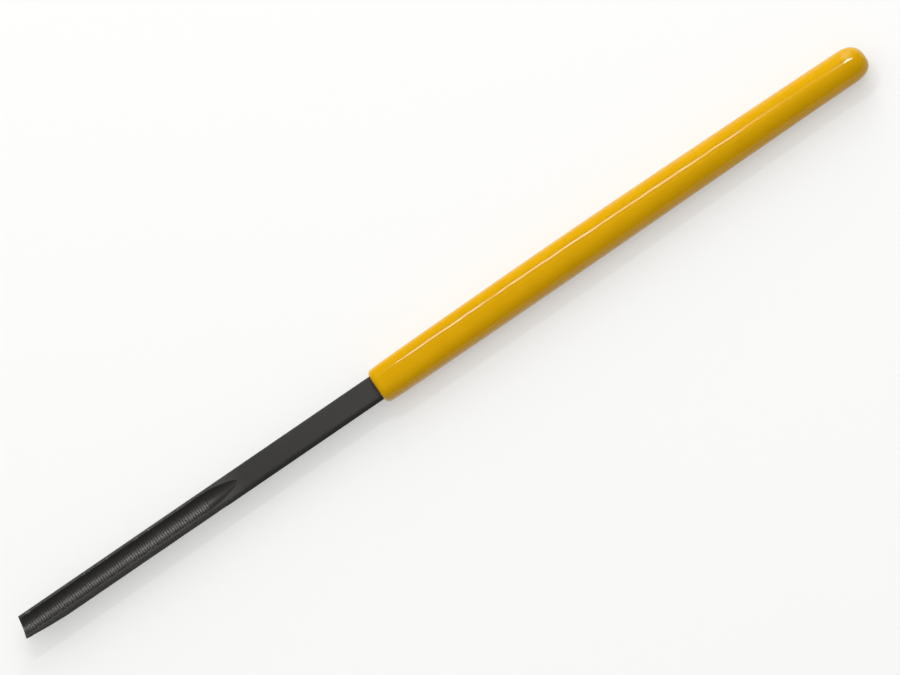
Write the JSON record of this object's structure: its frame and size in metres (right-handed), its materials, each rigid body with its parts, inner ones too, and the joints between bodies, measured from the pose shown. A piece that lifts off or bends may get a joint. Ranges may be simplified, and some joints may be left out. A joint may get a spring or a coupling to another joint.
{
  "type": "fret end file",
  "caption": "Slim hand file: a square-sided steel bar with a concave toothed groove on top, cut flanks and a ground tip, in a barrel-shaped vinyl grip that is squared off towards the bar.",
  "frame": {"origin": "under the middle of the tool, on the lowest line of the grip", "axes": "+X from the tip of the steel to the rear of the grip, +Z the side that the groove faces"},
  "size_m": [0.18, 0.0072, 0.0069],
  "materials": {
    "file_steel": "hardened carbon steel, dark grey, satin",
    "yellow_vinyl": "glossy dipped vinyl"
  },
  "bodies": {
    "root": {"steel_file": "file_steel", "vinyl_grip": "yellow_vinyl"}
  },
  "joints": []
}
